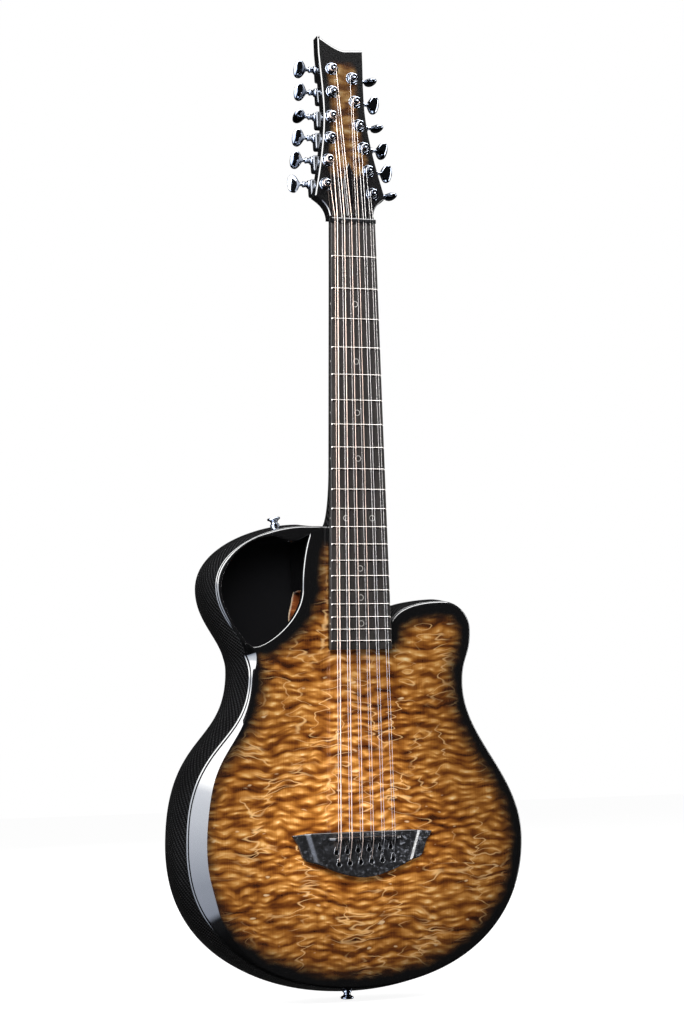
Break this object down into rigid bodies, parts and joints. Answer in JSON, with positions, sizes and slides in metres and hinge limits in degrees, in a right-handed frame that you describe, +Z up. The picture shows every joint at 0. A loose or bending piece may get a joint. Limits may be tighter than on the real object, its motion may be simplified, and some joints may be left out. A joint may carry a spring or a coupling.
{
  "type": "acoustic guitar",
  "caption": "Steel-string acoustic guitar: moulded carbon body with one cutaway, leaf-shaped soundhole in the bass shoulder, paired strings and geared tuners.",
  "frame": {"origin": "centre of the tail strap button's outer face, the lowest point of the guitar", "axes": "+Z up the neck, +X to the treble side (the cutaway), +Y to the back; the top's flat face is parallel to the XZ plane"},
  "size_m": [0.3826, 0.1315, 1.0321],
  "materials": {
    "gloss_carbon": "gloss clear coat over black carbon twill",
    "figured_top": "gloss clear coat over quilted maple with a black burst edge",
    "dark_board": "satin",
    "forged_carbon": "gloss over chopped carbon flakes",
    "dark_bone": "satin",
    "chrome": "polished",
    "cast_housing": "polished, softer than the buttons",
    "steel": "satin",
    "plain_wire": "drawn wire",
    "bronze_wound": "bronze wrap wire",
    "plate_carbon": "satin"
  },
  "bodies": {
    "instrument": {"back_shell": "gloss_carbon", "bridge": "forged_carbon", "bridge_plate": "plate_carbon", "fingerboard": "dark_board", "neck": "gloss_carbon", "nut": "dark_bone", "saddle": "dark_bone", "strap_button_shoulder": "chrome", "strap_button_tail": "chrome", "string_01": "bronze_wound", "string_02": "bronze_wound", "string_03": "plain_wire", "string_04": "bronze_wound", "string_05": "plain_wire", "string_06": "bronze_wound", "string_07": "plain_wire", "string_08": "bronze_wound", "string_09": "plain_wire", "string_10": "plain_wire", "string_11": "plain_wire", "string_12": "plain_wire", "top_plate": "figured_top", "truss_rod_cover": "gloss_carbon", "tuner_housing_bass_1": "cast_housing", "tuner_housing_bass_2": "cast_housing", "tuner_housing_bass_3": "cast_housing", "tuner_housing_bass_4": "cast_housing", "tuner_housing_bass_5": "cast_housing", "tuner_housing_bass_6": "cast_housing", "tuner_housing_treble_1": "cast_housing", "tuner_housing_treble_2": "cast_housing", "tuner_housing_treble_3": "cast_housing", "tuner_housing_treble_4": "cast_housing", "tuner_housing_treble_5": "cast_housing", "tuner_housing_treble_6": "cast_housing"},
    "button_bass_1": {"tuner_button_bass_1": "chrome"},
    "post_bass_1": {"string_post_bass_1": "chrome"},
    "button_bass_2": {"tuner_button_bass_2": "chrome"},
    "post_bass_2": {"string_post_bass_2": "chrome"},
    "button_bass_3": {"tuner_button_bass_3": "chrome"},
    "post_bass_3": {"string_post_bass_3": "chrome"},
    "button_bass_4": {"tuner_button_bass_4": "chrome"},
    "post_bass_4": {"string_post_bass_4": "chrome"},
    "button_bass_5": {"tuner_button_bass_5": "chrome"},
    "post_bass_5": {"string_post_bass_5": "chrome"},
    "button_bass_6": {"tuner_button_bass_6": "chrome"},
    "post_bass_6": {"string_post_bass_6": "chrome"},
    "button_treble_1": {"tuner_button_treble_1": "chrome"},
    "post_treble_1": {"string_post_treble_1": "chrome"},
    "button_treble_2": {"tuner_button_treble_2": "chrome"},
    "post_treble_2": {"string_post_treble_2": "chrome"},
    "button_treble_3": {"tuner_button_treble_3": "chrome"},
    "post_treble_3": {"string_post_treble_3": "chrome"},
    "button_treble_4": {"tuner_button_treble_4": "chrome"},
    "post_treble_4": {"string_post_treble_4": "chrome"},
    "button_treble_5": {"tuner_button_treble_5": "chrome"},
    "post_treble_5": {"string_post_treble_5": "chrome"},
    "button_treble_6": {"tuner_button_treble_6": "chrome"},
    "post_treble_6": {"string_post_treble_6": "chrome"},
    "truss_rod": {"truss_rod": "steel"}
  },
  "joints": [
    {"name": "button_bass_1_turn", "type": "hinge", "parent": "instrument", "child": "button_bass_1", "pos_m": [-0.027, -0.0344, 0.86827], "axis": [-1, 0, 0], "continuous": true},
    {"name": "post_bass_1_turn", "type": "hinge", "parent": "instrument", "child": "post_bass_1", "pos_m": [-0.027, -0.0422, 0.86307], "axis": [0, -0.9903, 0.1392], "continuous": true},
    {"name": "button_bass_2_turn", "type": "hinge", "parent": "instrument", "child": "button_bass_2", "pos_m": [-0.0223, -0.03061, 0.89521], "axis": [-1, 0, 0], "continuous": true},
    {"name": "post_bass_2_turn", "type": "hinge", "parent": "instrument", "child": "post_bass_2", "pos_m": [-0.0223, -0.03841, 0.89], "axis": [0, -0.9903, 0.1392], "continuous": true},
    {"name": "button_bass_3_turn", "type": "hinge", "parent": "instrument", "child": "button_bass_3", "pos_m": [-0.0182, -0.02706, 0.92046], "axis": [-1, 0, 0], "continuous": true},
    {"name": "post_bass_3_turn", "type": "hinge", "parent": "instrument", "child": "post_bass_3", "pos_m": [-0.0182, -0.03486, 0.91525], "axis": [0, -0.9903, 0.1392], "continuous": true},
    {"name": "button_bass_4_turn", "type": "hinge", "parent": "instrument", "child": "button_bass_4", "pos_m": [-0.0155, -0.02367, 0.94462], "axis": [-1, 0, 0], "continuous": true},
    {"name": "post_bass_4_turn", "type": "hinge", "parent": "instrument", "child": "post_bass_4", "pos_m": [-0.0155, -0.03147, 0.93942], "axis": [0, -0.9903, 0.1392], "continuous": true},
    {"name": "button_bass_5_turn", "type": "hinge", "parent": "instrument", "child": "button_bass_5", "pos_m": [-0.0126, -0.01979, 0.97225], "axis": [-1, 0, 0], "continuous": true},
    {"name": "post_bass_5_turn", "type": "hinge", "parent": "instrument", "child": "post_bass_5", "pos_m": [-0.0126, -0.02758, 0.96705], "axis": [0, -0.9903, 0.1392], "continuous": true},
    {"name": "button_bass_6_turn", "type": "hinge", "parent": "instrument", "child": "button_bass_6", "pos_m": [-0.0113, -0.01615, 0.99809], "axis": [-1, 0, 0], "continuous": true},
    {"name": "post_bass_6_turn", "type": "hinge", "parent": "instrument", "child": "post_bass_6", "pos_m": [-0.0113, -0.02395, 0.99289], "axis": [0, -0.9903, 0.1392], "continuous": true},
    {"name": "button_treble_1_turn", "type": "hinge", "parent": "instrument", "child": "button_treble_1", "pos_m": [0.0251, -0.03562, 0.85955], "axis": [1, 0, 0], "continuous": true},
    {"name": "post_treble_1_turn", "type": "hinge", "parent": "instrument", "child": "post_treble_1", "pos_m": [0.0251, -0.04342, 0.85435], "axis": [0, -0.9903, 0.1392], "continuous": true},
    {"name": "button_treble_2_turn", "type": "hinge", "parent": "instrument", "child": "button_treble_2", "pos_m": [0.0223, -0.03202, 0.8852], "axis": [1, 0, 0], "continuous": true},
    {"name": "post_treble_2_turn", "type": "hinge", "parent": "instrument", "child": "post_treble_2", "pos_m": [0.0223, -0.03982, 0.88], "axis": [0, -0.9903, 0.1392], "continuous": true},
    {"name": "button_treble_3_turn", "type": "hinge", "parent": "instrument", "child": "button_treble_3", "pos_m": [0.0189, -0.02846, 0.91055], "axis": [1, 0, 0], "continuous": true},
    {"name": "post_treble_3_turn", "type": "hinge", "parent": "instrument", "child": "post_treble_3", "pos_m": [0.0189, -0.03626, 0.90535], "axis": [0, -0.9903, 0.1392], "continuous": true},
    {"name": "button_treble_4_turn", "type": "hinge", "parent": "instrument", "child": "button_treble_4", "pos_m": [0.015, -0.02491, 0.93581], "axis": [1, 0, 0], "continuous": true},
    {"name": "post_treble_4_turn", "type": "hinge", "parent": "instrument", "child": "post_treble_4", "pos_m": [0.015, -0.03271, 0.9306], "axis": [0, -0.9903, 0.1392], "continuous": true},
    {"name": "button_treble_5_turn", "type": "hinge", "parent": "instrument", "child": "button_treble_5", "pos_m": [0.0127, -0.02119, 0.96225], "axis": [1, 0, 0], "continuous": true},
    {"name": "post_treble_5_turn", "type": "hinge", "parent": "instrument", "child": "post_treble_5", "pos_m": [0.0127, -0.02899, 0.95704], "axis": [0, -0.9903, 0.1392], "continuous": true},
    {"name": "button_treble_6_turn", "type": "hinge", "parent": "instrument", "child": "button_treble_6", "pos_m": [0.0113, -0.0175, 0.98849], "axis": [1, 0, 0], "continuous": true},
    {"name": "post_treble_6_turn", "type": "hinge", "parent": "instrument", "child": "post_treble_6", "pos_m": [0.0113, -0.0253, 0.98328], "axis": [0, -0.9903, 0.1392], "continuous": true},
    {"name": "truss_rod_turn", "type": "hinge", "parent": "instrument", "child": "truss_rod", "pos_m": [0, -0.054, 0.5108], "axis": [0, 0, 1], "range_deg": [-180, 180]}
  ],
  "couplings": [
    {"joint": "post_bass_1_turn", "follows": "button_bass_1_turn", "ratio": 0.071429},
    {"joint": "post_bass_2_turn", "follows": "button_bass_2_turn", "ratio": 0.071429},
    {"joint": "post_bass_3_turn", "follows": "button_bass_3_turn", "ratio": 0.071429},
    {"joint": "post_bass_4_turn", "follows": "button_bass_4_turn", "ratio": 0.071429},
    {"joint": "post_bass_5_turn", "follows": "button_bass_5_turn", "ratio": 0.071429},
    {"joint": "post_bass_6_turn", "follows": "button_bass_6_turn", "ratio": 0.071429},
    {"joint": "post_treble_1_turn", "follows": "button_treble_1_turn", "ratio": 0.071429},
    {"joint": "post_treble_2_turn", "follows": "button_treble_2_turn", "ratio": 0.071429},
    {"joint": "post_treble_3_turn", "follows": "button_treble_3_turn", "ratio": 0.071429},
    {"joint": "post_treble_4_turn", "follows": "button_treble_4_turn", "ratio": 0.071429},
    {"joint": "post_treble_5_turn", "follows": "button_treble_5_turn", "ratio": 0.071429},
    {"joint": "post_treble_6_turn", "follows": "button_treble_6_turn", "ratio": 0.071429}
  ]
}
